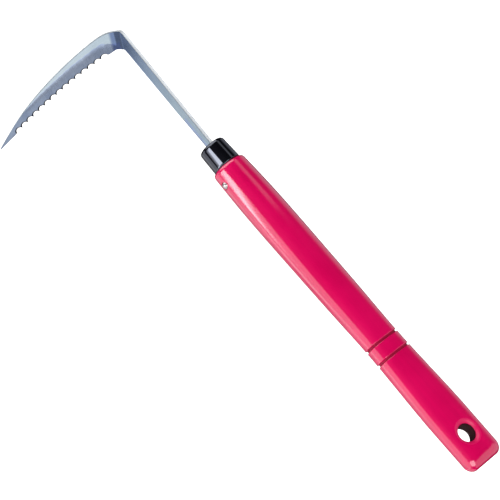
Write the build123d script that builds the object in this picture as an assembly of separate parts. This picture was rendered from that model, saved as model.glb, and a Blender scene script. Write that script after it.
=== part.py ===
from build123d import *
import os
from math import cos, pi, radians, sin, sqrt, tan

# Hand sickle, millimetres.  Origin: centre of the hanging hole, on the handle's own axis.
# +X runs along the handle towards the blade, +Y is the side the blade reaches out to
# (and the axis of the hanging hole), +Z is normal to the shank's broad face.

# ---- handle ----
hole_to_shoulder = 221.0     # hanging hole to the handle's front shoulder
hole_to_butt = 21.0          # hanging hole to the rounded butt
shoulder_radius = 2.6
butt_cap_length = 6.5
butt_inset = 5.0             # the butt's end face is this much smaller all round
section_points = 32          # points on each closed section curve
cap_steps = 5                # sections round each end of the handle
cut_clear = 2.0              # cutting solids reach this far past the surface
# distance behind the shoulder, half width along Z, half thickness along Y, squareness
handle_sections = [
    (0.0, 12.0, 10.1, 2.05),
    (22.0, 12.9, 10.6, 2.1),
    (75.0, 13.4, 9.2, 2.3),
    (120.0, 12.9, 8.0, 2.6),
    (143.0, 12.5, 7.3, 2.8),
    (172.0, 13.4, 6.8, 2.9),
    (205.0, 14.6, 6.4, 3.0),
    (hole_to_shoulder + hole_to_butt, 14.5, 6.2, 3.0),
]
groove_behind_shoulder = (145.6, 156.6)
groove_width = 1.9
groove_depth = 1.0
hang_hole_radius = 5.7
hang_hole_straight = 4.4     # length of the straight wall between the two flared mouths
hang_mouth_radius = 3.6      # flare of each mouth, along the radius
spigot_radius = 7.4
spigot_length = 13.0

# ---- ferrule ----
ferrule_length = 16.5
ferrule_rear_radius = 9.6
ferrule_front_radius = 9.1
ferrule_rim_radius = 2.4
ferrule_bore_radius = 7.5

# ---- steel: tang, shank, fold and blade, one strip ----
plate = 2.5
tang_length = 62.0
tang_half_width = 3.3
tang_tip_half_width = 2.2
slot_gap = 0.1               # clearance round the steel in handle and ferrule
fold_from_shoulder = 106.0   # fold apex, along X
fold_offset = -1.9           # fold apex, along Y
fold_half_length = 6.2       # half the length of the diagonal fold line
fold_angle = 45.0
fold_radius = 9.0            # to the middle of the plate
outer_corner_radius = 5.0
inner_corner_radius = 3.0
# blade outline: distance out from the fold apex, distance towards the handle
spine_points = [(12.4, -14.6), (47.0, -22.9), (78.6, -26.3)]
edge_points = [(18.3, -2.4), (43.9, -10.8), (74.6, -18.3)]
blade_tip = (105.8, -24.9)
tip_half_width = 0.4
spine_start_slope = -1.0
spine_end_slope = 0.18
first_gullet = 9.4           # along the edge, from the fold to the first gullet
gullet_pitch = 5.36
gullet_count = 15
gullet_radius = 2.6          # on the lower face
gullet_offset = 0.7          # gullet centres lie this far outside the tooth tips
gullet_flare = 1.1           # wider by this on the upper face
# bevel: distance out, where the grind starts, where it meets the edge, thickness left there
bevel_sections = [
    (4.0, -1.5, 2.0, 2.4),
    (6.0, -5.0, 1.7, 1.8),
    (9.0, -7.8, 0.9, 1.3),
    (15.0, -10.3, -1.2, 0.9),
    (33.0, -16.5, -7.4, 0.7),
    (60.0, -23.3, -15.2, 0.6),
    (84.0, -27.2, -20.6, 0.6),
    (108.0, -29.5, -25.2, 0.6),
]
bevel_clear = 6.0            # the ground-off volume reaches this far past the blade

# ---- pin ----
pin_behind_shoulder = 10.2
pin_radius = 1.4
pin_head_radius = 2.4
pin_head_height = 1.4
pin_seat_depth = 0.5         # the head's seat below the handle's crown
pin_length = 19.0
pin_gap = 0.05

shoulder_x = hole_to_shoulder
butt_x = -hole_to_butt


def section_curve(x, half_z, half_y, power):
    """Closed superellipse across the handle at x."""
    points = []
    for i in range(section_points):
        angle = 2 * pi * i / section_points
        c, s = cos(angle), sin(angle)
        y = half_y * abs(c) ** (2 / power) * (1 if c >= 0 else -1)
        z = half_z * abs(s) ** (2 / power) * (1 if s >= 0 else -1)
        points.append((x, y, z))
    return Face(Wire([Edge.make_spline(points, periodic=True)]))


def section_at(behind):
    """Half width, half thickness and squareness of the handle, between the stations."""
    for near, far in zip(handle_sections, handle_sections[1:]):
        if behind <= far[0]:
            share = (behind - near[0]) / (far[0] - near[0])
            return [a + share * (b - a) for a, b in zip(near[1:], far[1:])]
    return handle_sections[-1][1:]


def rounded_end(x_end, inward, length, drop, section):
    """Rounded cap from a full section to a smaller end face; inward is +1 or -1 along X."""
    half_z, half_y, power = section
    rings = []
    for i in range(cap_steps + 1):
        angle = pi / 2 * i / cap_steps
        inset = drop * (1 - sin(angle))
        x = x_end + inward * length * (1 - cos(angle))
        rings.append(section_curve(x, half_z - inset, half_y - inset, power))
    return loft(rings)


def x_box(x_low, x_high, half_y, half_z):
    """Box along X, centred on the handle's axis."""
    middle = ((x_low + x_high) / 2, 0, 0)
    return Pos(*middle) * Box(x_high - x_low, 2 * half_y, 2 * half_z)


def x_cylinder(x_low, x_high, radius):
    """Cylinder along X on the handle's axis."""
    middle = ((x_low + x_high) / 2, 0, 0)
    return Pos(*middle) * Rot(0, 90, 0) * Cylinder(radius, x_high - x_low)


# ------------------------------------------------------------------ steel
tang_end_x = shoulder_x - tang_length
slot_x = shoulder_x + ferrule_length
apex = Vector(shoulder_x + fold_from_shoulder, fold_offset, 0)
crease = Vector(1, -1, 0) / sqrt(2)      # along the fold line, inner to outer corner
across = Vector(1, 1, 0) / sqrt(2)       # square to the fold line, towards the blade
up = Vector(0, 0, 1)
turn = radians(fold_angle)
setback = fold_radius * tan(turn / 2)    # fold apex to where the bend starts

bend_start = apex - across * setback
outer_root = bend_start + crease * fold_half_length
inner_root = bend_start - crease * fold_half_length

shank_outline = Polyline(
    (tang_end_x, -tang_tip_half_width),
    (slot_x, -tang_half_width),
    (outer_root.X, outer_root.Y),
    (inner_root.X, inner_root.Y),
    (slot_x, tang_half_width),
    (tang_end_x, tang_tip_half_width),
    close=True,
)
shank = extrude(make_face(shank_outline), plate / 2, both=True)

bend_plane = Plane(origin=bend_start, x_dir=crease, z_dir=across)
bend_face = bend_plane * Rectangle(2 * fold_half_length, plate)
bend_axis = Axis(bend_start + up * fold_radius, crease)
bend = revolve(bend_face, bend_axis, fold_angle)

# the blade's own plane: x out along the blade, y towards the handle, z off its upper face
out_dir = Vector(-(1 - cos(turn)) / 2, (1 + cos(turn)) / 2, sin(turn) / sqrt(2))
normal = Vector(-sin(turn) / sqrt(2), -sin(turn) / sqrt(2), cos(turn))
blade_plane = Plane(origin=apex, x_dir=out_dir, z_dir=normal)

side = fold_half_length / sqrt(2)
back = setback / sqrt(2)
outer_end = (back - side, -side - back)
inner_end = (back + side, side - back)
tip_x, tip_y = blade_tip
spine_curve = Spline(
    outer_end,
    *spine_points,
    (tip_x, tip_y - tip_half_width),
    tangents=[(1, spine_start_slope), (1, spine_end_slope)],
)
edge_curve = Spline(inner_end, *edge_points, (tip_x, tip_y + tip_half_width))
tip_curve = ThreePointArc(
    spine_curve @ 1, (tip_x + tip_half_width, tip_y), edge_curve @ 1
)
root_line = Line(outer_end, inner_end)
blade_outline = make_face(spine_curve + edge_curve + tip_curve + root_line)
leaf = extrude(blade_plane * blade_outline, plate / 2, both=True)
for i in range(gullet_count):
    share = (first_gullet + gullet_pitch * i) / edge_curve.length
    on_edge = edge_curve @ share
    along = edge_curve % share
    x = on_edge.X - along.Y * gullet_offset
    y = on_edge.Y + along.X * gullet_offset
    leaf -= blade_plane * Pos(x, y, 0) * Cone(gullet_radius, gullet_radius + gullet_flare, plate)

bevel_faces = []
for out, grind, edge, left in bevel_sections:
    floor = left - plate / 2
    corners = [
        (out, grind, plate / 2),
        (out, edge, floor),
        (out, edge + bevel_clear, floor),
        (out, edge + bevel_clear, bevel_clear),
        (out, grind, bevel_clear),
    ]
    world = [blade_plane.from_local_coords(Vector(*corner)) for corner in corners]
    bevel_faces.append(Face(Wire.make_polygon(world, close=True)))
bevel = loft(bevel_faces, ruled=True)

steel = shank + bend + leaf
for spot, radius in ((outer_root, outer_corner_radius), (inner_root, inner_corner_radius)):
    kink = steel.edges().filter_by(Axis.Z).sort_by_distance(spot)[0]
    steel = fillet([kink], radius)
blade = steel - bevel

# ------------------------------------------------------------------ handle
main_sections = [
    section_curve(shoulder_x - shoulder_radius, *section_at(shoulder_radius)),
    *[section_curve(shoulder_x - s[0], *s[1:]) for s in handle_sections[1:-1]],
    section_curve(butt_x + butt_cap_length, *handle_sections[-1][1:]),
]
handle = loft(main_sections)
front_section = section_at(shoulder_radius)
handle += rounded_end(shoulder_x, -1, shoulder_radius, shoulder_radius, front_section)
handle += rounded_end(butt_x, 1, butt_cap_length, butt_inset, handle_sections[-1][1:])
handle += x_cylinder(shoulder_x - cut_clear, shoulder_x + spigot_length, spigot_radius)
for behind in groove_behind_shoulder:
    half_z, half_y, power = section_at(behind)
    x_low = shoulder_x - behind - groove_width / 2
    outer = section_curve(x_low, half_z + cut_clear, half_y + cut_clear, power)
    inner = section_curve(x_low, half_z - groove_depth, half_y - groove_depth, power)
    handle -= extrude(outer - inner, groove_width, dir=(1, 0, 0))

mouth_y = hang_hole_straight / 2
reach_y = mouth_y + hang_mouth_radius
hole_radius = hang_hole_radius
wide_radius = hole_radius + hang_mouth_radius
cutter_y = reach_y + cut_clear
profile = Polyline(
    (wide_radius, reach_y),
    (wide_radius, cutter_y),
    (0, cutter_y),
    (0, 0),
    (hole_radius, 0),
    (hole_radius, mouth_y),
) + RadiusArc((hole_radius, mouth_y), (wide_radius, reach_y), hang_mouth_radius)
half_hole = revolve(make_face(profile), Axis.Y)
handle -= half_hole + mirror(half_hole, Plane.XZ)

slot_half_y = tang_half_width + slot_gap
slot_half_z = plate / 2 + slot_gap
spigot_x = shoulder_x + spigot_length
handle -= x_box(tang_end_x, spigot_x + cut_clear, slot_half_y, slot_half_z)

# ------------------------------------------------------------------ ferrule
ferrule = Pos(shoulder_x + ferrule_length / 2, 0, 0) * Rot(0, 90, 0) * Cone(
    ferrule_rear_radius, ferrule_front_radius, ferrule_length
)
ferrule = fillet(ferrule.edges().group_by(Axis.X)[-1], ferrule_rim_radius)
ferrule -= x_cylinder(shoulder_x - cut_clear, spigot_x, ferrule_bore_radius)
ferrule -= x_box(shoulder_x, slot_x + cut_clear, slot_half_y, slot_half_z)

# ------------------------------------------------------------------ pin
pin_x = shoulder_x - pin_behind_shoulder
crown = section_at(pin_behind_shoulder)[0]
seat_z = crown - pin_seat_depth
dome_radius = (pin_head_radius ** 2 + pin_head_height ** 2) / (2 * pin_head_height)
dome = Pos(pin_x, 0, seat_z + pin_head_height - dome_radius) * Sphere(dome_radius)
head_block = Pos(pin_x, 0, seat_z + pin_head_height) * Cylinder(
    pin_head_radius, 2 * pin_head_height
)
stem = Pos(pin_x, 0, seat_z - pin_length / 2) * Cylinder(pin_radius, pin_length)
pin = dome & head_block
pin += stem
pin_hole = Pos(pin_x, 0, seat_z - pin_length / 2) * Cylinder(pin_radius + pin_gap, pin_length)
seat = Pos(pin_x, 0, seat_z + cut_clear) * Cylinder(pin_head_radius + pin_gap, 2 * cut_clear)
handle -= pin_hole + seat
blade -= pin_hole

os.makedirs("parts", exist_ok=True)
for name, solid in (("blade", blade), ("ferrule", ferrule), ("handle", handle), ("pin", pin)):
    export_step(solid, f"parts/{name}.step")
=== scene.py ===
import math
from bisect import bisect_right

import bmesh
import bpy
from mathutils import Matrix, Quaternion, Vector


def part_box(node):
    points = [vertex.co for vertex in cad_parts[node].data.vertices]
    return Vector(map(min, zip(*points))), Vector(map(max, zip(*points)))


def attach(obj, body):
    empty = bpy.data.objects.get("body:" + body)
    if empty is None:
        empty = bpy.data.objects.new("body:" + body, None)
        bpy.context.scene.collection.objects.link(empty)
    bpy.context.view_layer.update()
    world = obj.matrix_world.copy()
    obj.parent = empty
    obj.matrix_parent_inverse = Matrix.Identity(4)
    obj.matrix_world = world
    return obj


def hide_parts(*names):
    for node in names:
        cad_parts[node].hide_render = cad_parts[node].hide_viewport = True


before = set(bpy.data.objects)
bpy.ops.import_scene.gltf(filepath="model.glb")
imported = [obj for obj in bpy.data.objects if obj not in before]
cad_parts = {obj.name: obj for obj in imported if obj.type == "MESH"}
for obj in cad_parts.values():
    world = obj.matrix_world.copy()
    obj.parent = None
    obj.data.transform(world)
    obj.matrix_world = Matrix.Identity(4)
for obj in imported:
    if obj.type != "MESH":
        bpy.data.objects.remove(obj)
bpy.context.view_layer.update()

MM = 0.001

# ------------------------------------------------------------------ places, from the frame
handle_low, handle_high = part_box("handle")
ferrule_low, ferrule_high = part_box("ferrule")
pin_low, pin_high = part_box("pin")
blade_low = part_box("blade")[0]

shoulder_x = ferrule_low.x / MM
ferrule_front_x = ferrule_high.x / MM
spigot_x = handle_high.x / MM
butt_x = handle_low.x / MM
pin_x = (pin_low.x + pin_high.x) / 2 / MM
pin_top = pin_high.z / MM
tang_x = blade_low.x / MM

# ------------------------------------------------------------------ sizes, millimetres
RING = 96                    # points round the handle
QUARTER = RING // 4
PITCH = 0.8                  # rings along the handle
SHOULDER_RADIUS = 2.6
BUTT_CAP = 6.5
BUTT_INSET = 5.0
BUTT_STEPS = 12
BUTT_SCALES = (0.94, 0.8, 0.55, 0.28)   # rings on the flat of the butt
SHOULDER_STEPS = 8
RING_GAP = 0.3               # least gap between a plain ring and a rounded end
# distance behind the shoulder, half width along Z, half thickness along Y, squareness
HANDLE_SECTIONS = [
    (0.0, 12.0, 10.1, 2.05),
    (22.0, 12.9, 10.6, 2.1),
    (75.0, 13.4, 9.2, 2.3),
    (120.0, 12.9, 8.0, 2.6),
    (143.0, 12.5, 7.3, 2.8),
    (172.0, 13.4, 6.8, 2.9),
    (205.0, 14.6, 6.4, 3.0),
    (shoulder_x - butt_x, 14.5, 6.2, 3.0),
]
WIDEST = 14.58               # the spline through the sections bulges no wider than this
GROOVES = (145.6, 156.6)     # behind the shoulder
GROOVE_FLAT = 0.45           # half width of the groove's floor
GROOVE_HALF = 1.1            # half width at the lip
GROOVE_DEPTH = 1.0
GROOVE_DARK = 0.25           # below this depth the lacquer is dark: pooled lacquer and painted shade
HOLE_RADIUS = 5.7
HOLE_STRAIGHT = 2.9          # half length of the hole's straight wall
HOLE_FLARE = 3.6
HOLE_SPAN = 13               # quads each way that the hole's patch replaces
HOLE_PATCH = (0.35, 0.7, 1.0)   # rings from the patch's border to the flare, in shares
FLARE_STEPS = 14
WALL_RINGS = 4
BORE_EDGE = 0.35             # the wall's near-black painted shade starts this far up the flare
SPIGOT_RADIUS = 7.4
SPIGOT_EDGE = 0.5

FERRULE_REAR = 9.6
FERRULE_FRONT = 9.1
FERRULE_RIM = 2.4
FERRULE_BORE = 7.5
SLOT_HALF_Y = 3.4
SLOT_HALF_Z = 1.35
SLOT_POWER = 9.0
FERRULE_RING = 96
FERRULE_STEPS = 14
PIN_RING = 48
PIN_STEPS = 14

PLATE = 2.5
FOLD_ALONG = 106.0           # fold apex, ahead of the shoulder
FOLD_SIDE = -1.9             # and off the handle's axis
FOLD_HALF = 6.2              # half width of the strip at the fold
FOLD_ANGLE = math.radians(45.0)
FOLD_RADIUS = 9.0
OUTER_CORNER = 5.0
INNER_CORNER = 3.0
TANG_HALF = 3.3
TANG_TIP_HALF = 2.2
# (out from the apex, toward the handle) in the blade's plane
SPINE_POINTS = [(12.4, -14.6), (47.0, -22.9), (78.6, -26.3)]
EDGE_POINTS = [(18.3, -2.4), (43.9, -10.8), (74.6, -18.3)]
BLADE_TIP = (105.8, -24.9)
TIP_HALF = 0.4
# gullets: distances along the edge, from the fold
FIRST_GULLET = 9.4
GULLET_PITCH = 5.36
GULLETS = 15
GULLET_RADIUS = 2.6
GULLET_OFFSET = 0.7          # how far off the edge their centres are
GULLET_FLARE = 0.9           # wider by this at the ground face
GULLET_REACH = 2.7           # half the stretch that a gullet's own stations take
GULLET_MARKS = (0.0, 0.7, 1.3, 1.8, 2.15, 2.38, 2.5, 2.6)
ROOT_STATIONS = 9            # between the fold and the first gullet
TIP_STATIONS = 22
TANG_STATIONS = 6
SHANK_STATIONS = 36
FOLD_STATIONS = 34
GRIND_STEPS = 400            # how finely the start of the grinding is looked for
MID_SHARE = 0.5              # share of the width that stands in for the grind line on the shank
ROOT_SHARE = 0.64            # and at the root of the blade
MOST_SHARE = 0.8             # the grind line keeps this far from the edge
SPINE_START = 1.5            # the spine leaves the fold square to it for this long
# distance out, where the grind starts, where it meets the edge, thickness left there
BEVEL = [
    (4.0, -1.5, 2.0, 2.4),
    (6.0, -5.0, 1.7, 1.8),
    (9.0, -7.8, 0.9, 1.3),
    (15.0, -10.3, -1.2, 0.9),
    (33.0, -16.5, -7.4, 0.7),
    (60.0, -23.3, -15.2, 0.6),
    (84.0, -27.2, -20.6, 0.6),
    (108.0, -29.5, -25.2, 0.6),
]
SPINE_ROUND = 0.3            # broken edges of the plate
SHADE_SHANK = 40.0            # the painted shade at the fold fades out this far down the shank
SHADE_BLADE = 6.6             # and stops this far into the blade
SHADE_EDGE = 1.6              # over this width
PIN_RADIUS = 1.4
PIN_HEAD = 2.4
PIN_DOME = 1.4               # height of the domed head
PIN_SEAT = 2.62
PIN_SPAN = 5                 # quads each way that the nail's patch replaces
PIN_RINGS = 8                # rings behind the nail that keep in step with it


# ------------------------------------------------------------------ small tools
def natural_spline(knots):
    """Cubic spline through (t, value) knots with free ends; returns a function of t."""
    ts = [k[0] for k in knots]
    vs = [k[1] for k in knots]
    n = len(ts)
    h = [b - a for a, b in zip(ts, ts[1:])]
    diag, rhs, upper = [1.0] * n, [0.0] * n, [0.0] * n
    for i in range(1, n - 1):
        slope = 6 * ((vs[i + 1] - vs[i]) / h[i] - (vs[i] - vs[i - 1]) / h[i - 1])
        diag[i] = 2 * (h[i - 1] + h[i]) - h[i - 1] * upper[i - 1]
        upper[i] = h[i] / diag[i]
        rhs[i] = (slope - h[i - 1] * rhs[i - 1]) / diag[i]
    second = [0.0] * n
    for i in range(n - 2, 0, -1):
        second[i] = rhs[i] - upper[i] * second[i + 1]

    def value(t):
        i = min(max(bisect_right(ts, t) - 1, 0), n - 2)
        a, b = ts[i + 1] - t, t - ts[i]
        bend = second[i] * a ** 3 + second[i + 1] * b ** 3
        line = (vs[i] / h[i] - second[i] * h[i] / 6) * a
        return bend / (6 * h[i]) + line + (vs[i + 1] / h[i] - second[i + 1] * h[i] / 6) * b

    return value


def lerp(a, b, f):
    return a + (b - a) * f


def along_table(rows, t):
    """Row values at t, in straight lines between the rows."""
    for near, far in zip(rows, rows[1:]):
        if t <= far[0]:
            f = max(0.0, (t - near[0]) / (far[0] - near[0]))
            return [lerp(a, b, f) for a, b in zip(near[1:], far[1:])]
    return list(rows[-1][1:])


class Path:
    """Polyline with its length, to be read at a distance along it."""

    def __init__(self, points):
        self.points = [Vector(p) for p in points]
        self.at = [0.0]
        for a, b in zip(self.points, self.points[1:]):
            self.at.append(self.at[-1] + (b - a).length)
        self.length = self.at[-1]

    def index(self, s):
        return min(max(bisect_right(self.at, s) - 1, 0), len(self.points) - 2)

    def point(self, s):
        i = self.index(s)
        return self.points[i].lerp(self.points[i + 1], (s - self.at[i]) / (self.at[i + 1] - self.at[i]))

    def direction(self, s, reach=0.4):
        a = self.point(max(0.0, s - reach))
        b = self.point(min(self.length, s + reach))
        return (b - a).normalized()


def smooth_curve(points, count, start=None):
    """Dense points of a spline through points, its speed set by the chord lengths."""
    points = [Vector(p) for p in points]
    if start is not None:
        points.insert(1, points[0] + start)
    t = [0.0]
    for a, b in zip(points, points[1:]):
        t.append(t[-1] + (b - a).length)
    fx = natural_spline([(s, p.x) for s, p in zip(t, points)])
    fy = natural_spline([(s, p.y) for s, p in zip(t, points)])
    return [Vector((fx(t[-1] * i / count), fy(t[-1] * i / count))) for i in range(count + 1)]


def arc_corner(before, corner, after, radius, count=10):
    """Points of a rounded corner of a polyline."""
    a = (before - corner).normalized()
    b = (after - corner).normalized()
    half = a.angle(b) / 2
    setback = radius / math.tan(half)
    centre = corner + (a + b).normalized() * radius / math.sin(half)
    start = corner + a * setback - centre
    end = corner + b * setback - centre
    turn = start.angle_signed(end)
    out = []
    for i in range(count + 1):
        spin = -turn * i / count
        c, s = math.cos(spin), math.sin(spin)
        out.append(centre + Vector((start.x * c - start.y * s, start.x * s + start.y * c)))
    return out


def make_object(name, verts, faces, sharp_degrees, uv=None, zones=None):
    """Mesh in metres from millimetre points, smooth but for edges sharper than the angle."""
    mesh = bpy.data.meshes.new(name)
    mesh.from_pydata([Vector(v) * MM for v in verts], [], faces)
    if uv is not None:
        layer = mesh.uv_layers.new(name="strip")
        for loop in mesh.loops:
            layer.data[loop.index].uv = uv[loop.vertex_index]
    bm = bmesh.new()
    bm.from_mesh(mesh)
    bmesh.ops.recalc_face_normals(bm, faces=bm.faces)
    bm.to_mesh(mesh)
    bm.free()
    for polygon in mesh.polygons:
        polygon.use_smooth = True
    for zone, value in (zones or {}).items():
        layer = mesh.attributes.new(zone, "FLOAT", "CORNER")
        for polygon in mesh.polygons:
            for k in polygon.loop_indices:
                layer.data[k].value = value(polygon.index, mesh.loops[k].vertex_index)
    mesh.set_sharp_from_angle(angle=math.radians(sharp_degrees))
    piece = bpy.data.objects.new(name, mesh)
    bpy.context.scene.collection.objects.link(piece)
    return piece


def bridge(faces, ring_a, ring_b):
    """Quads between two rings of vertex numbers."""
    n = len(ring_a)
    for i in range(n):
        j = (i + 1) % n
        faces.append((ring_a[i], ring_a[j], ring_b[j], ring_b[i]))


def add_ring(verts, points):
    """Numbers of the new vertices."""
    first = len(verts)
    verts.extend(points)
    return list(range(first, first + len(points)))


def add_next(verts, faces, last, points):
    """Ring of points joined to the ring before it, where there is one."""
    ring = add_ring(verts, points)
    if last:
        bridge(faces, last, ring)
    return ring


def circle(radius, count):
    """Points (across, up) of a circle."""
    angles = [2 * math.pi * j / count for j in range(count)]
    return [(radius * math.cos(a), radius * math.sin(a)) for a in angles]


def fan(verts, faces, ring, centre):
    """Close a ring with triangles to its centre."""
    verts.append(centre)
    tip = len(verts) - 1
    for a, b in zip(ring, ring[1:] + ring[:1]):
        faces.append((a, b, tip))


# ------------------------------------------------------------------ handle
section_at = [
    natural_spline([(row[0], row[k]) for row in HANDLE_SECTIONS]) for k in (1, 2, 3)
]


def section(x):
    behind = min(max(shoulder_x - x, SHOULDER_RADIUS), shoulder_x - butt_x - BUTT_CAP)
    half_z, half_y, power = [f(behind) for f in section_at]
    return min(half_z, WIDEST), half_y, power


def superellipse(half_y, half_z, power, count):
    """(y, z) points evenly spaced round the section, from +Y towards +Z."""
    quarter = count // 4
    fine = 240
    arc = []
    for i in range(fine + 1):
        t = math.pi / 2 * i / fine
        arc.append((half_y * math.cos(t) ** (2 / power), half_z * math.sin(t) ** (2 / power)))
    arc[-1] = (0.0, half_z)
    path = Path(arc)
    first = [path.point(path.length * i / quarter) for i in range(quarter + 1)]
    ring = [(p.x, p.y) for p in first]
    ring += [(-p.x, p.y) for p in reversed(first[:-1])]
    ring += [(-p.x, -p.y) for p in first[1:]]
    ring += [(p.x, -p.y) for p in reversed(first[1:-1])]
    return ring


def groove_depth(x):
    """How deep the surface is cut at x."""
    behind = shoulder_x - x
    depth = 0.0
    for g in GROOVES:
        f = (GROOVE_HALF - abs(behind - g)) / (GROOVE_HALF - GROOVE_FLAT)
        f = min(max(f, 0.0), 1.0)
        depth = max(depth, GROOVE_DEPTH * f * f * (3 - 2 * f))
    return depth


def handle_rings():
    """(x, inset) of every ring, butt to shoulder."""
    rings = []
    for i in range(BUTT_STEPS + 1):
        t = math.pi / 2 * i / BUTT_STEPS
        rings.append((butt_x + BUTT_CAP * (1 - math.cos(t)), BUTT_INSET * (1 - math.sin(t))))
    main_low, main_high = butt_x + BUTT_CAP, shoulder_x - SHOULDER_RADIUS
    xs = [PITCH * k for k in range(-40, 400)]
    xs = [x for x in xs if main_low + RING_GAP < x < pin_x - (PIN_RINGS + 1) * PITCH]
    xs += [pin_x + PITCH * k for k in range(-PIN_RINGS, 20)]
    xs = [x for x in xs if x < main_high - RING_GAP]
    groove_xs = []
    for g in GROOVES:
        middle = shoulder_x - g
        xs = [x for x in xs if abs(x - middle) > GROOVE_HALF + 0.35]
        groove_xs += [middle + GROOVE_HALF * k / 8 for k in range(-9, 10)]
    for x in sorted(xs + groove_xs):
        rings.append((x, groove_depth(x)))
    for i in range(SHOULDER_STEPS + 1):
        t = math.pi / 2 * (1 - i / SHOULDER_STEPS)
        x = shoulder_x - SHOULDER_RADIUS * (1 - math.cos(t))
        rings.append((x, SHOULDER_RADIUS * (1 - math.sin(t))))
    return rings


def crown(x, across, half_index):
    """Height of the handle's surface over the middle plane; half_index 1: along Y, 0: along Z."""
    half_z, half_y, power = section(x)
    reach, rise = (half_z, half_y) if half_index else (half_y, half_z)
    return rise * (1 - (abs(across) / reach) ** power) ** (1 / power)


class HandleGrid:
    """The handle's rings of vertices, with square patches left open in them."""

    def __init__(self):
        self.verts, self.faces, self.rows = [], [], []
        self.rings = handle_rings()
        self.open = set()
        for x, inset in self.rings:
            half_z, half_y, power = section(x)
            outline = superellipse(half_y - inset, half_z - inset, power, RING)
            self.rows.append(add_ring(self.verts, [(x, y, z) for y, z in outline]))

    def add(self, last, points):
        return add_next(self.verts, self.faces, last, points)

    def patch(self, centre_x, middle, span):
        """Open a patch; returns the vertices round it."""
        reach = span * PITCH + 0.01
        near = [i for i, ring in enumerate(self.rings) if abs(ring[0] - centre_x) < reach]
        low, high = near[0], near[-1]
        left, right = middle - span, middle + span
        for i in range(low, high):
            self.open.update((i, j % RING) for j in range(left, right))
        rows = self.rows
        loop = [rows[i][left % RING] for i in range(low, high)]
        loop += [rows[high][j % RING] for j in range(left, right)]
        loop += [rows[i][right % RING] for i in range(high, low, -1)]
        loop += [rows[low][j % RING] for j in range(right, left, -1)]
        return loop

    def skin(self):
        """Quads everywhere but in the patches."""
        for i, (a, b) in enumerate(zip(self.rows, self.rows[1:])):
            for j in range(RING):
                if (i, j) not in self.open:
                    k = (j + 1) % RING
                    self.faces.append((a[j], a[k], b[k], b[j]))


def add_mouth(grid, side, middle):
    """Flared mouth of the hanging hole; returns its innermost ring, and keys to match rings by."""
    last = grid.patch(0.0, middle, HOLE_SPAN)
    corner = [Vector((grid.verts[k][0], grid.verts[k][2])) for k in last]
    rim = [p.normalized() * (HOLE_RADIUS + HOLE_FLARE) for p in corner]
    for f in HOLE_PATCH:
        flat = [p.lerp(q, f) for p, q in zip(corner, rim)]
        last = grid.add(last, [(m.x, side * crown(m.x, m.y, 1), m.y) for m in flat])
    for k in range(1, FLARE_STEPS + 1):
        t = math.pi / 2 * k / FLARE_STEPS
        radius = HOLE_RADIUS + HOLE_FLARE * (1 - math.sin(t))
        ring = []
        for q in rim:
            height = lerp(HOLE_STRAIGHT, crown(q.x, q.y, 1), math.cos(t))
            m = q.normalized() * radius
            ring.append((m.x, side * height, m.y))
        last = grid.add(last, ring)
    return last, [q.to_tuple(3) for q in rim]


def add_hole(grid):
    """Hanging hole: its two mouths, and the straight wall between them."""
    front, front_key = add_mouth(grid, 1, 0)
    back, back_key = add_mouth(grid, -1, 2 * QUARTER)
    partner = dict(zip(back_key, back))
    far = [partner[key] for key in front_key]
    last = front
    for k in range(1, WALL_RINGS):
        ends = [(Vector(grid.verts[a]), Vector(grid.verts[b])) for a, b in zip(front, far)]
        last = grid.add(last, [tuple(a.lerp(b, k / WALL_RINGS)) for a, b in ends])
    bridge(grid.faces, last, far)


def add_pin_seat(grid):
    """Round seat that the nail's head sits in."""
    last = grid.patch(pin_x, QUARTER, PIN_SPAN)
    corner = [Vector((grid.verts[k][0] - pin_x, grid.verts[k][1])) for k in last]
    floor_z = pin_top - PIN_DOME
    rounded = PIN_SEAT + 0.3
    # share of the way to the circle, its radius, depth below the surface (None: the seat's floor)
    for f, radius, drop in (
        (0.5, rounded, 0.0), (1.0, rounded, 0.0), (1.0, PIN_SEAT + 0.12, 0.04),
        (1.0, PIN_SEAT, 0.2), (1.0, PIN_SEAT, 0.45), (1.0, PIN_RADIUS, None),
    ):
        ring = []
        for p in corner:
            m = p.lerp(p.normalized() * radius, f)
            z = floor_z if drop is None else crown(pin_x + m.x, m.y, 0) - drop
            ring.append((pin_x + m.x, m.y, z))
        last = grid.add(last, ring)
    fan(grid.verts, grid.faces, last, (pin_x, 0, floor_z))


def add_ends(grid):
    """Flat of the butt, and the spigot inside the ferrule."""
    verts = grid.verts
    last = grid.rows[0]
    for scale in BUTT_SCALES:
        ring = [(butt_x, verts[k][1] * scale, verts[k][2] * scale) for k in grid.rows[0]]
        last = grid.add(last, ring)
    fan(verts, grid.faces, last, (butt_x, 0, 0))
    last = grid.rows[-1]
    angles = [math.atan2(verts[k][2], verts[k][1]) for k in last]
    for x, radius in (
        (shoulder_x, SPIGOT_RADIUS), (spigot_x - SPIGOT_EDGE, SPIGOT_RADIUS),
        (spigot_x, SPIGOT_RADIUS - SPIGOT_EDGE),
    ):
        last = grid.add(last, [(x, radius * math.cos(a), radius * math.sin(a)) for a in angles])
    fan(verts, grid.faces, last, (spigot_x, 0, 0))


def build_handle():
    grid = HandleGrid()
    add_hole(grid)
    add_pin_seat(grid)
    grid.skin()
    add_ends(grid)
    uv = [(v[0] / 40.0, abs(math.atan2(v[2], v[1])) * 12.0 / 40.0) for v in grid.verts]
    return make_object("handle_lacquered", grid.verts, grid.faces, 42, uv)


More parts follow.
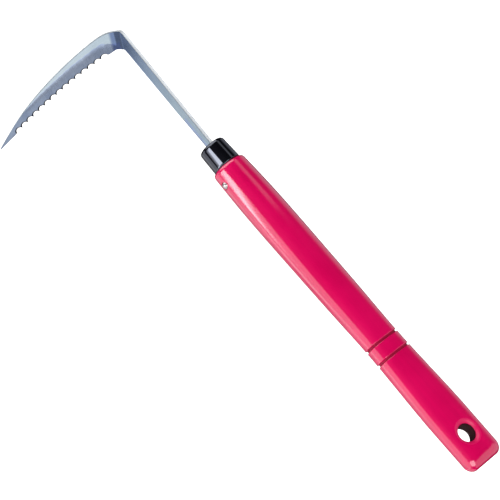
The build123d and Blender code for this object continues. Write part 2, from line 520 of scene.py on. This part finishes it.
# ------------------------------------------------------------------ ferrule
def ferrule_profile():
    """(x, radius) round the ferrule's wall, from the bore to the front rim."""
    rows = [
        (spigot_x, SPIGOT_RADIUS - 1.0), (spigot_x, FERRULE_BORE - 0.1),
        (spigot_x - 0.1, FERRULE_BORE), (shoulder_x + 0.3, FERRULE_BORE),
        (shoulder_x, FERRULE_BORE + 0.3), (shoulder_x, FERRULE_REAR - 0.45),
        (shoulder_x + 0.08, FERRULE_REAR - 0.2), (shoulder_x + 0.25, FERRULE_REAR - 0.06),
        (shoulder_x + 0.5, FERRULE_REAR - 0.01),
    ]
    start_x, start_radius = rows[-1]
    straight_end = ferrule_front_x - FERRULE_RIM
    for k in range(1, FERRULE_STEPS + 1):
        f = k / FERRULE_STEPS
        rows.append((lerp(start_x, straight_end, f), lerp(start_radius, FERRULE_FRONT, f)))
    for k in range(1, FERRULE_STEPS + 1):
        t = math.pi / 2 * k / FERRULE_STEPS
        rows.append((
            straight_end + FERRULE_RIM * math.sin(t),
            FERRULE_FRONT - FERRULE_RIM * (1 - math.cos(t)),
        ))
    return rows


def build_ferrule():
    verts, faces, rings = [], [], []
    last = None
    for x, radius in ferrule_profile():
        last = add_next(verts, faces, last, [(x, *p) for p in circle(radius, FERRULE_RING)])
        rings.append(last)
    slot = superellipse(SLOT_HALF_Y, SLOT_HALF_Z, SLOT_POWER, FERRULE_RING)
    rim = [Vector((verts[k][1], verts[k][2])) for k in last]
    # share of the way to the slot, how much wider than it, place along X from the front
    for f, spread, dx in (
        (0.35, 0.0, 0.0), (0.7, 0.0, 0.0), (1.0, 0.18, 0.0), (1.0, 0.05, -0.12),
        (1.0, 0.0, -0.35), (1.0, 0.0, spigot_x - ferrule_front_x),
    ):
        ring = []
        for p, q in zip(rim, slot):
            q = Vector(q)
            m = p.lerp(q + q.normalized() * spread, f)
            ring.append((ferrule_front_x + dx, m.x, m.y))
        last = add_next(verts, faces, last, ring)
    bridge(faces, last, rings[0])
    uv = [(v[0] / 20.0, math.atan2(v[2], v[1]) / 2) for v in verts]
    return make_object("ferrule_cap", verts, faces, 50, uv)


# ------------------------------------------------------------------ nail
def pin_profile():
    """(radius, z) of the nail, from its dome to its end."""
    seat, end = pin_top - PIN_DOME, pin_low.z / MM
    dome_radius = (PIN_HEAD ** 2 + PIN_DOME ** 2) / (2 * PIN_DOME)
    half_angle = math.asin(PIN_HEAD / dome_radius)
    angles = [half_angle * k / PIN_STEPS for k in range(1, PIN_STEPS + 1)]
    rows = [(dome_radius * math.sin(a), pin_top - dome_radius * (1 - math.cos(a))) for a in angles]
    return rows + [
        (PIN_HEAD - 0.12, seat), (PIN_RADIUS + 0.1, seat), (PIN_RADIUS, seat - 0.1),
        (PIN_RADIUS, end + 0.6), (PIN_RADIUS - 0.5, end),
    ]


def build_pin():
    verts, faces = [], []
    last = None
    for radius, z in pin_profile():
        points = [(pin_x + across, up, z) for across, up in circle(radius, PIN_RING)]
        ring = add_next(verts, faces, last, points)
        if last is None:
            fan(verts, faces, ring, (pin_x, 0, pin_top))
        last = ring
    fan(verts, faces, last, (pin_x, 0, pin_low.z / MM))
    return make_object("pin_nail", verts, faces, 40)


# ------------------------------------------------------------------ blade
apex = Vector((shoulder_x + FOLD_ALONG, FOLD_SIDE))
setback = FOLD_RADIUS * math.tan(FOLD_ANGLE / 2)
half_root = math.sqrt(0.5)


def flat_from_blade(out, toward):
    """A point of the blade's plane laid flat about the fold's apex."""
    return Vector((-toward, out))


def fold(p, h):
    """Space point of the strip at flat place p (about the apex), height h off its middle."""
    across = across_fold(p)
    along = (p.x - p.y) * half_root
    if across <= -setback:
        level, rise, lean = across, 0.0, 0.0
    else:
        lean = min((across + setback) / (2 * setback), 1.0) * FOLD_ANGLE
        level = -setback + FOLD_RADIUS * math.sin(lean)
        rise = FOLD_RADIUS * (1 - math.cos(lean))
        if across > setback:
            level += (across - setback) * math.cos(FOLD_ANGLE)
            rise += (across - setback) * math.sin(FOLD_ANGLE)
    level -= h * math.sin(lean)
    rise += h * math.cos(lean)
    return (
        apex.x + (level + along) * half_root,
        apex.y + (level - along) * half_root,
        rise,
    )


def bevel_drop(p):
    """How much the grinding takes off the upper face at flat place p."""
    out, toward = p.y, -p.x
    if out <= BEVEL[0][0]:
        return 0.0
    grind, edge, left = along_table(BEVEL, out)
    share = max(0.0, (toward - grind) / (edge - grind))
    return min(share, 1.0) * (PLATE - left)


def edge_depth(s, radius):
    """How far the gullets are cut in at distance s along the edge."""
    k = round((s - FIRST_GULLET) / GULLET_PITCH)
    k = min(max(k, 0), GULLETS - 1)
    off = abs(s - FIRST_GULLET - GULLET_PITCH * k)
    if off >= radius:
        return 0.0
    return max(0.0, math.sqrt(radius ** 2 - off ** 2) - GULLET_OFFSET)


def across_fold(p):
    """Distance of flat place p beyond the middle of the fold."""
    return (p.x + p.y) * half_root


def fold_shade_amount(across):
    """Painted shade at the fold, a dark reflection painted into the steel, from the distance across the
    fold line.
    """
    if across < 0:
        return max(0.0, 1.0 + across / SHADE_SHANK)
    return min(max((SHADE_BLADE - across) / SHADE_EDGE, 0.0), 1.0)


def grind_share(a, b):
    """Share of the way from spine to edge where the grinding starts."""
    for k in range(GRIND_STEPS):
        p = a.lerp(b, k / GRIND_STEPS)
        if p.y > BEVEL[0][0] and -p.x >= along_table(BEVEL, p.y)[0]:
            return k / GRIND_STEPS
    return 1.0


def edge_marks(length):
    """Distances along the cutting edge that have a station."""
    marks = {0.0, length}
    for k in range(GULLETS):
        middle = FIRST_GULLET + GULLET_PITCH * k
        marks.update(middle + s * o for o in GULLET_MARKS for s in (-1, 1))
    for k in range(1, ROOT_STATIONS):
        marks.add((FIRST_GULLET - GULLET_REACH) * k / ROOT_STATIONS)
    last_gullet = FIRST_GULLET + GULLET_PITCH * (GULLETS - 1) + GULLET_REACH
    for k in range(1, TIP_STATIONS):
        marks.add(lerp(last_gullet, length, k / TIP_STATIONS))
    return sorted(marks)


def blade_stations():
    """Flat outline cut across: an outer point, the ground face's edge point, the lower face's
    edge point, and the share of the width where the grinding starts."""
    back, half = setback * half_root, FOLD_HALF * half_root
    outer_root = Vector((half - back, -half - back))
    inner_root = Vector((-half - back, half - back))
    step = Vector((1, 1)) * half_root * 2 * setback
    outer_end, inner_end = outer_root + step, inner_root + step
    slot = ferrule_front_x - apex.x
    tang = tang_x - apex.x
    outer_slot = Vector((slot, -TANG_HALF - apex.y))
    inner_slot = Vector((slot, TANG_HALF - apex.y))
    outer_tang = Vector((tang, -TANG_TIP_HALF - apex.y))
    inner_tang = Vector((tang, TANG_TIP_HALF - apex.y))
    outer_arc = arc_corner(outer_slot, outer_root, outer_end, OUTER_CORNER)
    inner_arc = arc_corner(inner_slot, inner_root, inner_end, INNER_CORNER)

    stations = []
    for k in range(TANG_STATIONS + 1):
        f = k / TANG_STATIONS
        a, b = outer_tang.lerp(outer_slot, f), inner_tang.lerp(inner_slot, f)
        stations.append((a, b, b, MID_SHARE))
    for k in range(1, SHANK_STATIONS):
        f = k / SHANK_STATIONS
        a, b = outer_slot.lerp(outer_arc[0], f), inner_slot.lerp(inner_arc[0], f)
        stations.append((a, b, b, MID_SHARE))
    outer_bend = Path([*outer_arc, outer_end])
    inner_bend = Path([*inner_arc, inner_end])
    for k in range(FOLD_STATIONS):
        f = k / FOLD_STATIONS
        a, b = outer_bend.point(outer_bend.length * f), inner_bend.point(inner_bend.length * f)
        stations.append((a, b, b, lerp(MID_SHARE, ROOT_SHARE, f)))

    tip_out, tip_toward = BLADE_TIP
    spine = [flat_from_blade(*p) for p in SPINE_POINTS]
    spine.append(flat_from_blade(tip_out, tip_toward - TIP_HALF))
    edge = [flat_from_blade(*p) for p in EDGE_POINTS]
    edge.append(flat_from_blade(tip_out, tip_toward + TIP_HALF))
    leaving = Vector((1, 1)).normalized() * SPINE_START
    spine_path = Path(smooth_curve([outer_end, *spine], 160, start=leaving))
    edge_path = Path(smooth_curve([inner_end, *edge], 260))
    for s in edge_marks(edge_path.length):
        f = s / edge_path.length
        a = spine_path.point(spine_path.length * f)
        b = edge_path.point(s)
        way = edge_path.direction(s)
        inward = Vector((way.y, -way.x))
        if (a - b).dot(inward) < 0:
            inward = -inward
        low = b + inward * edge_depth(s, GULLET_RADIUS)
        high = b + inward * edge_depth(s, GULLET_RADIUS + GULLET_FLARE)
        stations.append((a, high, low, min(grind_share(a, b), MOST_SHARE)))
    return stations


def station_profile(a, high, low, share):
    """(flat place, height) round the strip at a station, from the spine over the ground face."""
    def top(p):
        return PLATE / 2 - bevel_drop(p)

    width_high, width_low = (high - a).length, (low - a).length
    broken = min(SPINE_ROUND, 0.25 * width_high)
    ground = min(max(share, 0.1), 0.85)
    soft = min(0.3 / width_high, 0.04)
    spine_top, tip_high = top(a), top(high)
    thick = tip_high + PLATE / 2
    points = [
        (a, spine_top - broken),
        (a.lerp(high, 0.3 * broken / width_high), spine_top - 0.3 * broken),
    ]
    for f in (
        broken / width_high, min(1.6 * broken / width_high, 0.6 * ground),
        ground - soft, ground, ground + soft, lerp(ground, 1.0, 0.5),
        1.0 - min(0.3, 0.2 * width_high) / width_high,
        1.0 - min(0.12, 0.1 * width_high) / width_high,
    ):
        p = a.lerp(high, f)
        points.append((p, top(p)))
    points.append((high, tip_high - min(0.08, 0.1 * thick)))
    points.append((low.lerp(high, 0.1), -PLATE / 2 + min(0.1, 0.1 * thick)))
    for f in (1.0 - min(0.12, 0.1 * width_low) / width_low, 0.75, 0.4, broken / width_low):
        points.append((a.lerp(low, f), -PLATE / 2))
    points.append((a.lerp(low, 0.3 * broken / width_low), -PLATE / 2 + 0.3 * broken))
    points.append((a, -PLATE / 2 + broken))
    return points


FACE, BEVELLED, SIDE, CUT = range(4)


def strip_kinds(high, low):
    """What each quad between two stations belongs to, in the profile's order."""
    ground = bevel_drop(high) > 0.15
    cut = (low - high).length > 0.05
    kinds = [SIDE] + [FACE] * 4 + [BEVELLED if ground else FACE] * 5
    return kinds + [CUT if cut else SIDE] + [FACE] * 5 + [SIDE] * 2


def build_blade():
    verts, faces, uv, face_kind, across = [], [], [], [], []
    last, previous = None, None
    run = 0.0
    for a, high, low, share in blade_stations():
        middle = (a + low) / 2
        if previous is not None:
            run += (middle - previous).length
        previous = middle
        profile = station_profile(a, high, low, share)
        uv += [(run / 100.0, (p - a).length / 100.0) for p, h in profile]
        across += [across_fold(p) for p, h in profile]
        ring = add_next(verts, faces, last, [fold(p, h) for p, h in profile])
        if last:
            face_kind.extend(strip_kinds(high, low))
        else:
            faces.append(tuple(ring))
            face_kind.append(SIDE)
        last = ring
    faces.append(tuple(reversed(last)))
    face_kind.append(SIDE)
    zones = {
        "ground": lambda f, v: float(face_kind[f] == BEVELLED),
        "side": lambda f, v: float(face_kind[f] == SIDE),
        # gullet walls, which the steel paints near black as shade
        "cut": lambda f, v: float(face_kind[f] == CUT),
        # how strongly the painted shade at the fold covers each vertex
        "fold_shade": lambda f, v: fold_shade_amount(across[v]),
    }
    return make_object("blade_folded", verts, faces, 33, uv, zones)


# ------------------------------------------------------------------ materials
class Nodes:
    """Short names for building a node tree."""

    def __init__(self, name):
        self.material = bpy.data.materials.new(name)
        self.material.use_nodes = True
        self.tree = self.material.node_tree
        self.shader = self.tree.nodes["Principled BSDF"]

    def add(self, kind, **settings):
        node = self.tree.nodes.new(kind)
        for key, value in settings.items():
            if hasattr(node, key):
                setattr(node, key, value)
            else:
                node.inputs[key.replace("_", " ")].default_value = value
        return node

    def link(self, source, target):
        self.tree.links.new(source, target)

    def scaled(self, vector, scale):
        mapping = self.add("ShaderNodeMapping")
        mapping.inputs["Scale"].default_value = scale
        self.link(vector, mapping.inputs["Vector"])
        return mapping.outputs["Vector"]

    def on_object(self, scale=(1, 1, 1)):
        return self.scaled(self.add("ShaderNodeTexCoord").outputs["Object"], scale)

    def noise(self, vector, scale, detail=3.0, rough=0.5):
        node = self.add("ShaderNodeTexNoise")
        node.inputs["Scale"].default_value = scale
        node.inputs["Detail"].default_value = detail
        node.inputs["Roughness"].default_value = rough
        self.link(vector, node.inputs["Vector"])
        return node.outputs["Fac"]

    def ramp(self, value, stops):
        node = self.add("ShaderNodeValToRGB")
        elements = node.color_ramp.elements
        while len(elements) < len(stops):
            elements.new(0.5)
        for element, (place, colour) in zip(elements, stops):
            element.position = place
            element.color = (*colour, 1.0) if isinstance(colour, tuple) else (colour,) * 3 + (1.0,)
        self.link(value, node.inputs["Fac"])
        return node.outputs["Color"]

    def mix(self, blend, factor, a, b):
        node = self.add("ShaderNodeMix", data_type="RGBA", blend_type=blend)
        for value, socket in ((factor, node.inputs[0]), (a, node.inputs[6]), (b, node.inputs[7])):
            if hasattr(value, "is_output"):
                self.link(value, socket)
            else:
                socket.default_value = value
        return node.outputs[2]

    def math(self, operation, a, b):
        node = self.add("ShaderNodeMath", operation=operation)
        for value, socket in zip((a, b), node.inputs):
            if hasattr(value, "is_output"):
                self.link(value, socket)
            else:
                socket.default_value = value
        return node.outputs[0]

    def bump(self, height, strength, distance, normal=None):
        node = self.add("ShaderNodeBump")
        node.inputs["Strength"].default_value = strength
        node.inputs["Distance"].default_value = distance
        self.link(height, node.inputs["Height"])
        if normal is not None:
            self.link(normal, node.inputs["Normal"])
        return node.outputs["Normal"]

    def set(self, **values):
        for key, value in values.items():
            socket = self.shader.inputs[key.replace("_", " ")]
            if hasattr(value, "is_output"):
                self.link(value, socket)
            else:
                socket.default_value = value


def lacquer():
    n = Nodes("crimson_lacquer")
    place = n.on_object()
    grain = n.noise(n.on_object((14, 260, 260)), 1.0, 4.0, 0.6)
    cloud = n.noise(place, 38.0, 2.0, 0.5)
    peel = n.noise(place, 380.0, 2.0, 0.5)
    base = n.ramp(cloud, [(0.3, (0.80, 0.0005, 0.106)), (0.7, (0.88, 0.0012, 0.122))])
    veins = n.ramp(grain, [(0.36, (0.88, 0.88, 0.88)), (0.62, (1.0, 1.0, 1.0))])
    base = n.mix("MULTIPLY", 0.5, base, veins)
    rough = n.ramp(cloud, [(0.3, 0.16), (0.7, 0.21)])
    wave = n.bump(peel, 0.05, 0.0004)
    n.set(
        Base_Color=base, Roughness=rough, Normal=n.bump(grain, 0.04, 0.0003, wave),
        Coat_Normal=wave, Coat_Roughness=0.13, Coat_Weight=1.0, Coat_IOR=1.65, IOR=1.6,
    )
    return n.material


def bore_shade():
    """Painted shade inside the hanging hole: near-black, dull lacquer on its wall."""
    n = Nodes("bore_shade")
    grain = n.noise(n.on_object((300, 60, 300)), 1.0, 4.0, 0.6)
    n.set(
        # painted shade: the wall's colour is near black
        Base_Color=n.ramp(grain, [(0.3, (0.020, 0.001, 0.003)), (0.7, (0.045, 0.001, 0.006))]),
        Roughness=n.ramp(grain, [(0.3, 0.6), (0.7, 0.75)]), Specular_IOR_Level=0.25,
        Normal=n.bump(grain, 0.1, 0.0004),
    )
    return n.material


def rim_lacquer():
    """Lacquer worn satin on the flared mouths of the hanging hole."""
    n = Nodes("rim_lacquer")
    cloud = n.noise(n.on_object(), 90.0, 3.0, 0.5)
    n.set(
        Base_Color=n.ramp(cloud, [(0.3, (0.76, 0.0007, 0.108)), (0.7, (0.84, 0.0014, 0.124))]),
        Roughness=n.ramp(cloud, [(0.3, 0.34), (0.7, 0.42)]), IOR=1.5,
        Normal=n.bump(cloud, 0.05, 0.0003),
    )
    return n.material


def groove_pool_and_shade():
    """Lacquer pooled dark and duller on the turning marks of the two grooves; the darkness is partly
    pooled lacquer, partly painted shade.
    """
    n = Nodes("groove_pool_and_shade")
    marks = n.noise(n.on_object((2500, 40, 40)), 1.0, 3.0, 0.6)
    n.set(
        # dark crimson: pooled lacquer and painted shade in the grooves
        Base_Color=n.ramp(marks, [(0.3, (0.36, 0.0006, 0.040)), (0.7, (0.48, 0.0010, 0.056))]),
        Roughness=n.ramp(marks, [(0.3, 0.42), (0.7, 0.55)]), Specular_IOR_Level=0.3,
        Normal=n.bump(marks, 0.08, 0.0003),
    )
    return n.material


def black_plastic():
    n = Nodes("black_plastic")
    place = n.on_object()
    cloud = n.noise(place, 60.0, 2.0, 0.5)
    scuff = n.noise(n.on_object((160, 900, 900)), 1.0, 4.0, 0.65)
    base = n.ramp(cloud, [(0.3, (0.0015, 0.0015, 0.003)), (0.7, (0.004, 0.004, 0.006))])
    rough = n.ramp(scuff, [(0.4, 0.035), (0.75, 0.07)])
    n.set(
        Base_Color=base, Roughness=rough, IOR=2.0, Specular_Tint=(0.78, 0.83, 1.0, 1.0),
    )
    return n.material


def steel():
    """Mill marks along the strip, grinding marks across the bevel, painted shade at the fold and
    near-black painted shade on the gullet walls.
    """
    n = Nodes("ground_steel")
    strip = n.add("ShaderNodeUVMap", uv_map="strip").outputs["UV"]

    def zone(name):
        return n.add("ShaderNodeAttribute", attribute_name=name).outputs["Fac"]

    ground, side, cut, fold_shade = [zone(name) for name in ("ground", "side", "cut", "fold_shade")]
    along = n.noise(n.scaled(strip, (7, 160, 1)), 1.0, 4.0, 0.6)
    across = n.noise(n.scaled(strip, (110, 9, 1)), 1.0, 4.0, 0.6)
    place = n.on_object()
    cloud = n.noise(place, 60.0, 3.0, 0.55)
    spots = n.noise(place, 420.0, 3.0, 0.6)

    plate = n.ramp(cloud, [(0.3, (0.56, 0.62, 0.66)), (0.7, (0.66, 0.71, 0.74))])
    mill = n.ramp(along, [(0.36, (0.88, 0.89, 0.90)), (0.62, (1.0, 1.0, 1.0))])
    plate = n.mix("MULTIPLY", 0.8, plate, mill)
    bevel = n.ramp(cloud, [(0.34, (0.50, 0.56, 0.72)), (0.66, (0.67, 0.72, 0.86))])
    strokes = n.ramp(across, [(0.34, (0.90, 0.90, 0.93)), (0.64, (1.0, 1.0, 1.0))])
    bevel = n.mix("MULTIPLY", 0.8, bevel, strokes)
    bright = n.ramp(along, [(0.3, (0.78, 0.80, 0.83)), (0.7, (0.88, 0.90, 0.92))])
    base = n.mix("MIX", ground, plate, bevel)
    base = n.mix("MIX", side, base, bright)
    # painted shade: a darker, bluer copy of the steel over the fold, fading down the shank, stands in
    # for the dark reflection there
    shaded = n.mix("MULTIPLY", 1.0, base, (0.35, 0.41, 0.62, 1.0))
    not_side = n.math("SUBTRACT", 1.0, side)
    base = n.mix("MIX", n.math("MULTIPLY", fold_shade, not_side), base, shaded)

    plate_rough = n.ramp(along, [(0.35, 0.17), (0.7, 0.23)])
    bevel_rough = n.ramp(across, [(0.35, 0.18), (0.7, 0.25)])
    rough = n.mix("MIX", ground, plate_rough, bevel_rough)
    rough = n.mix("MULTIPLY", 1.0, rough, n.ramp(spots, [(0.3, 0.94), (0.7, 1.06)]))
    height = n.mix("MIX", ground, along, across)
    # painted shade: the gullet walls are painted near black
    base = n.mix("MIX", cut, base, (0.035, 0.035, 0.06, 1.0))
    rough = n.mix("MIX", side, rough, (0.42, 0.42, 0.42, 1.0))
    metallic = n.ramp(side, [(0.0, 1.0), (1.0, 0.35)])
    n.set(
        Base_Color=base, Metallic=metallic, Roughness=rough,
        Normal=n.bump(height, 0.018, 0.0004),
    )
    return n.material


def nail_steel():
    n = Nodes("nail_steel")
    place = n.on_object()
    cloud = n.noise(place, 900.0, 3.0, 0.6)
    base = n.ramp(cloud, [(0.35, (0.60, 0.57, 0.57)), (0.7, (0.78, 0.75, 0.74))])
    rough = n.ramp(cloud, [(0.3, 0.18), (0.7, 0.34)])
    n.set(
        Base_Color=base, Metallic=1.0, Roughness=rough,
        Normal=n.bump(cloud, 0.12, 0.0002),
    )
    return n.material


# ------------------------------------------------------------------ pieces
handle = build_handle()
ferrule = build_ferrule()
pin = build_pin()
blade = build_blade()
for piece, node, slot_name, material in (
    (handle, "handle", "red_lacquer", lacquer()),
    (ferrule, "ferrule", "black_plastic", black_plastic()),
    (pin, "pin", "pin_steel", nail_steel()),
    (blade, "blade", "steel", steel()),
):
    piece.data.materials.append(material)
    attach(piece, "root")
    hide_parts(node)

GLOSS, BORE_SHADE, GROOVE_POOL_SHADE, RIM = range(4)
for material in (bore_shade(), groove_pool_and_shade(), rim_lacquer()):
    handle.data.materials.append(material)


def handle_coat(centre):
    """Which of the handle's materials covers it at a place."""
    out = math.hypot(centre.x, centre.z) / MM - HOLE_RADIUS
    if out < HOLE_FLARE - BORE_EDGE:
        # the hole's wall gets the near-black painted shade, its flares the satin lacquer
        return BORE_SHADE if out < BORE_EDGE else RIM
    # the grooves get the dark lacquer, pooled lacquer and painted shade
    return GROOVE_POOL_SHADE if groove_depth(centre.x / MM) > GROOVE_DARK else GLOSS


for polygon in handle.data.polygons:
    polygon.material_index = handle_coat(polygon.center)

# ------------------------------------------------------------------ floor
FLOOR_Z = -0.26
FLOOR_HALF = 6.0


def build_floor():
    bm = bmesh.new()
    bmesh.ops.create_grid(bm, x_segments=12, y_segments=12, size=FLOOR_HALF)
    mesh = bpy.data.meshes.new("floor")
    bm.to_mesh(mesh)
    bm.free()
    floor = bpy.data.objects.new("floor", mesh)
    floor.location = (0.15, 0.0, FLOOR_Z)
    floor.visible_glossy = False
    floor.visible_diffuse = False
    floor.visible_shadow = False
    bpy.context.scene.collection.objects.link(floor)
    n = Nodes("pale_floor")
    cloud = n.noise(n.on_object(), 3.0, 2.0, 0.5)
    n.set(
        Base_Color=n.ramp(cloud, [(0.3, (0.86, 0.86, 0.86)), (0.7, (0.88, 0.88, 0.88))]),
        Roughness=0.9, Specular_IOR_Level=0.1,
    )
    mesh.materials.append(n.material)
    return floor


floor = build_floor()

# ------------------------------------------------------------------ light
WHITE = (1.0, 1.0, 1.0)
PALE_BLUE = (0.86, 0.94, 1.0)
BLUE = (0.70, 0.85, 1.0)
DEEP_BLUE = (0.45, 0.68, 1.0)
ROOM_COLOUR = (0.88, 0.95, 1.0)
ROOM_RADIANCE = 0.32
ROOM_HALF = 3.0
blade_middle = Vector((0.33, 0.05, 0.04))
shank_middle = Vector((0.28, 0.0, 0.0))
down = Vector((0, 0, -1))


def gathered(name, objects):
    """A set of objects that one lamp shines on alone."""
    group = bpy.data.collections.new(name)
    for thing in objects:
        group.objects.link(thing)
    return group


def softbox(name, place, target, size, radiance, colour, only, spin=0.0):
    """Area light at place, facing target, as bright as radiance whatever its size."""
    data = bpy.data.lights.new(name, "AREA")
    data.shape = "RECTANGLE"
    data.size, data.size_y = size
    data.energy = radiance * math.pi * size[0] * size[1]
    data.color = colour
    lamp = bpy.data.objects.new(name, data)
    lamp.location = place
    facing = (Vector(place) - Vector(target)).to_track_quat("Z", "Y")
    lamp.rotation_euler = (facing @ Quaternion((0, 0, 1), math.radians(spin))).to_euler()
    lamp.visible_camera = False
    bpy.context.scene.collection.objects.link(lamp)
    lamp.light_linking.receiver_collection = only


grip = gathered("grip_pieces", (handle, ferrule, pin))
metal = gathered("metal_pieces", (blade,))
stage_only = gathered("stage_pieces", (floor,))

# handle, ferrule and nail; target None hangs level over the tool
top_place = Vector((-0.21, 0.25, 0.95))
strip_place = Vector((0.46, -0.22, 0.93))
for name, place, target, size, radiance, spin in (
    ("top_panel", top_place, None, (1.35, 2.2), 0.95, 10.0),
    ("front_panel", (-1.0, -1.5, 0.7), (0.0, 0.0, 0.1), (1.8, 1.6), 2.9, 0.0),
    ("side_fill", (2.3, -0.8, 0.1), (0.1, 0.0, 0.0), (3.2, 2.9), 1.9, 0.0),
    ("under_fill", (-1.2, -0.7, -1.0), (0.1, 0.0, 0.0), (2.2, 2.2), 0.6, 0.0),
    ("back_fill", (-1.5, 1.3, 0.4), (0.1, 0.0, 0.0), (2.0, 2.0), 0.6, 0.0),
    ("edge_strip", strip_place, None, (0.10, 0.9), 5.5, 12.0),
    ("edge_glow", strip_place, None, (0.16, 0.9), 1.0, 12.0),
    ("low_card", (0.335, -0.32, -0.21), (0.27, 0.0, 0.0), (0.20, 0.10), 0.5, 0.0),
    ("rear_panel", (0.1, 1.8, 0.1), (0.15, 0.0, 0.1), (2.0, 2.1), 0.42, 0.0),
    ("neck_panel", (0.85, 0.95, 1.05), (0.2, 0.0, 0.0), (1.2, 1.1), 0.9, 0.0),
):
    if target is None:
        target = place + down
    softbox(name, place, target, size, radiance, WHITE, grip, spin)

# an even, pale room all round the steel, so that it reads as steel from every side
for axis in range(3):
    for side in (-1, 1):
        wall = Vector([side * ROOM_HALF * (k == axis) for k in range(3)])
        name = "room_%s_%s" % ("xyz"[axis], "low" if side < 0 else "high")
        size = (2 * ROOM_HALF, 2 * ROOM_HALF)
        softbox(name, blade_middle + wall, blade_middle, size, ROOM_RADIANCE, ROOM_COLOUR, metal)

# cards that the steel's faces mirror, each out along a direction from a point of the blade
for name, target, direction, distance, size, radiance, colour in (
    ("left_box", blade_middle, (-0.68, -0.10, 0.80), 1.5, (0.8, 0.5), 0.75, PALE_BLUE),
    ("back_box", blade_middle, (0.165, 0.80, 0.55), 1.5, (1.0, 0.8), 0.42, BLUE),
    ("spine_card", blade_middle, (0.62, 0.72, -0.31), 0.4, (0.6, 0.4), 1.2, WHITE),
    ("right_fill", blade_middle, (0.80, -0.30, 0.52), 1.5, (0.9, 0.9), 2.0, WHITE),
    ("edge_card", shank_middle, (0.165, -0.80, -0.58), 0.32, (0.40, 0.16), 1.8, WHITE),
    ("left_low", blade_middle, (-0.93, 0.05, 0.36), 1.5, (0.8, 0.46), 0.25, BLUE),
    ("bend_card", blade_middle, (-0.265, 0.368, 0.891), 1.5, (0.3, 0.3), 0.2, DEEP_BLUE),
):
    place = target + Vector(direction).normalized() * distance
    softbox(name, place, target, size, radiance, colour, metal)

softbox("floor_wash", (0.15, -0.3, 2.4), (0.15, 0.0, 0.0), (4.6, 4.6), 4.0, WHITE, stage_only)

WORLD_BLUE = 1.1
# (height, from straight below to straight above; grey)
WORLD_STOPS = (
    (0.0, 0.5), (0.025, 0.42), (0.07, 0.02), (0.2, 0.008), (0.5, 0.01), (0.8, 0.04), (0.96, 0.07),
)


def build_world():
    """Dim surroundings, brighter straight below and above."""
    world = bpy.data.worlds.new("studio")
    world.use_nodes = True
    bpy.context.scene.world = world
    tree = world.node_tree
    tree.nodes.clear()
    output = tree.nodes.new("ShaderNodeOutputWorld")
    background = tree.nodes.new("ShaderNodeBackground")
    where = tree.nodes.new("ShaderNodeTexCoord")
    split = tree.nodes.new("ShaderNodeSeparateXYZ")
    ramp = tree.nodes.new("ShaderNodeValToRGB")
    while len(ramp.color_ramp.elements) < len(WORLD_STOPS):
        ramp.color_ramp.elements.new(0.5)
    for element, (place, grey) in zip(ramp.color_ramp.elements, WORLD_STOPS):
        element.position = place
        element.color = (grey, grey, grey * WORLD_BLUE, 1.0)
    height = tree.nodes.new("ShaderNodeMath")
    height.operation = "MULTIPLY_ADD"
    height.inputs[1].default_value = 0.5
    height.inputs[2].default_value = 0.5
    for source, target in (
        (where.outputs["Generated"], split.inputs["Vector"]),
        (split.outputs["Z"], height.inputs[0]),
        (height.outputs[0], ramp.inputs["Fac"]),
        (ramp.outputs["Color"], background.inputs["Color"]),
        (background.outputs["Background"], output.inputs["Surface"]),
    ):
        tree.links.new(source, target)
    background.inputs["Strength"].default_value = 1.0


def build_camera():
    data = bpy.data.cameras.new("camera")
    data.sensor_width = 36.0
    data.lens = 150.7
    data.clip_start = 0.01
    camera = bpy.data.objects.new("camera", data)
    camera.location = (-0.04174, -1.01668, 0.76831)
    camera.rotation_euler = [math.radians(a) for a in (-38.2607, 42.4121, -151.1490)]
    bpy.context.scene.collection.objects.link(camera)
    bpy.context.scene.camera = camera


build_world()
build_camera()
bpy.context.scene.view_settings.view_transform = "Standard"
